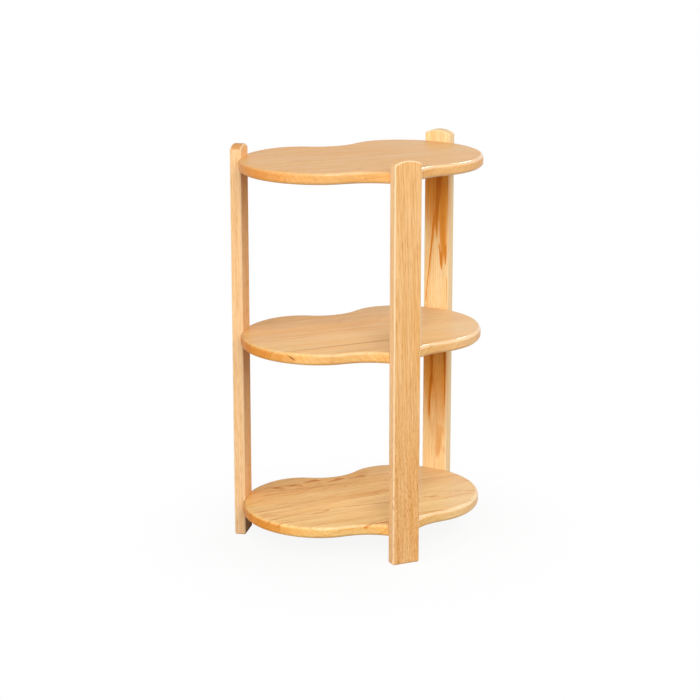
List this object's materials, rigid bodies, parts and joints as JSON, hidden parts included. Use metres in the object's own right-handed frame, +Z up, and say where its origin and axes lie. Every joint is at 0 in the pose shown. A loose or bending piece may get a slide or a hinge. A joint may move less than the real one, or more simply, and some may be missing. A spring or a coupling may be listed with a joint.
{
  "type": "tiered stand",
  "caption": "Free-standing wooden stand with lobed shelves on flat board legs, for plants or small things.",
  "frame": {"origin": "on the floor, under the middle of the stand's overall box", "axes": "+Z up, -Y towards the front leg, +X along the shelves' length and the grain of their boards"},
  "size_m": [0.4326, 0.3274, 0.7],
  "materials": {
    "shelf_oak": "clear golden lacquer, satin to gloss",
    "leg_oak": "clear golden lacquer, satin",
    "dowel_beech": "bare wood, glued in"
  },
  "bodies": {
    "root": {"bottom_shelf_front_board": "shelf_oak", "bottom_shelf_inner_front_board": "shelf_oak", "bottom_shelf_inner_back_board": "shelf_oak", "bottom_shelf_back_board": "shelf_oak", "middle_shelf_front_board": "shelf_oak", "middle_shelf_inner_front_board": "shelf_oak", "middle_shelf_inner_back_board": "shelf_oak", "middle_shelf_back_board": "shelf_oak", "top_shelf_front_board": "shelf_oak", "top_shelf_inner_front_board": "shelf_oak", "top_shelf_inner_back_board": "shelf_oak", "top_shelf_back_board": "shelf_oak", "left_leg": "leg_oak", "front_leg": "leg_oak", "right_leg": "leg_oak", "bottom_left_dowels": "dowel_beech", "bottom_front_dowels": "dowel_beech", "bottom_right_dowels": "dowel_beech", "middle_left_dowels": "dowel_beech", "middle_front_dowels": "dowel_beech", "middle_right_dowels": "dowel_beech", "top_left_dowels": "dowel_beech", "top_front_dowels": "dowel_beech", "top_right_dowels": "dowel_beech"}
  },
  "joints": []
}
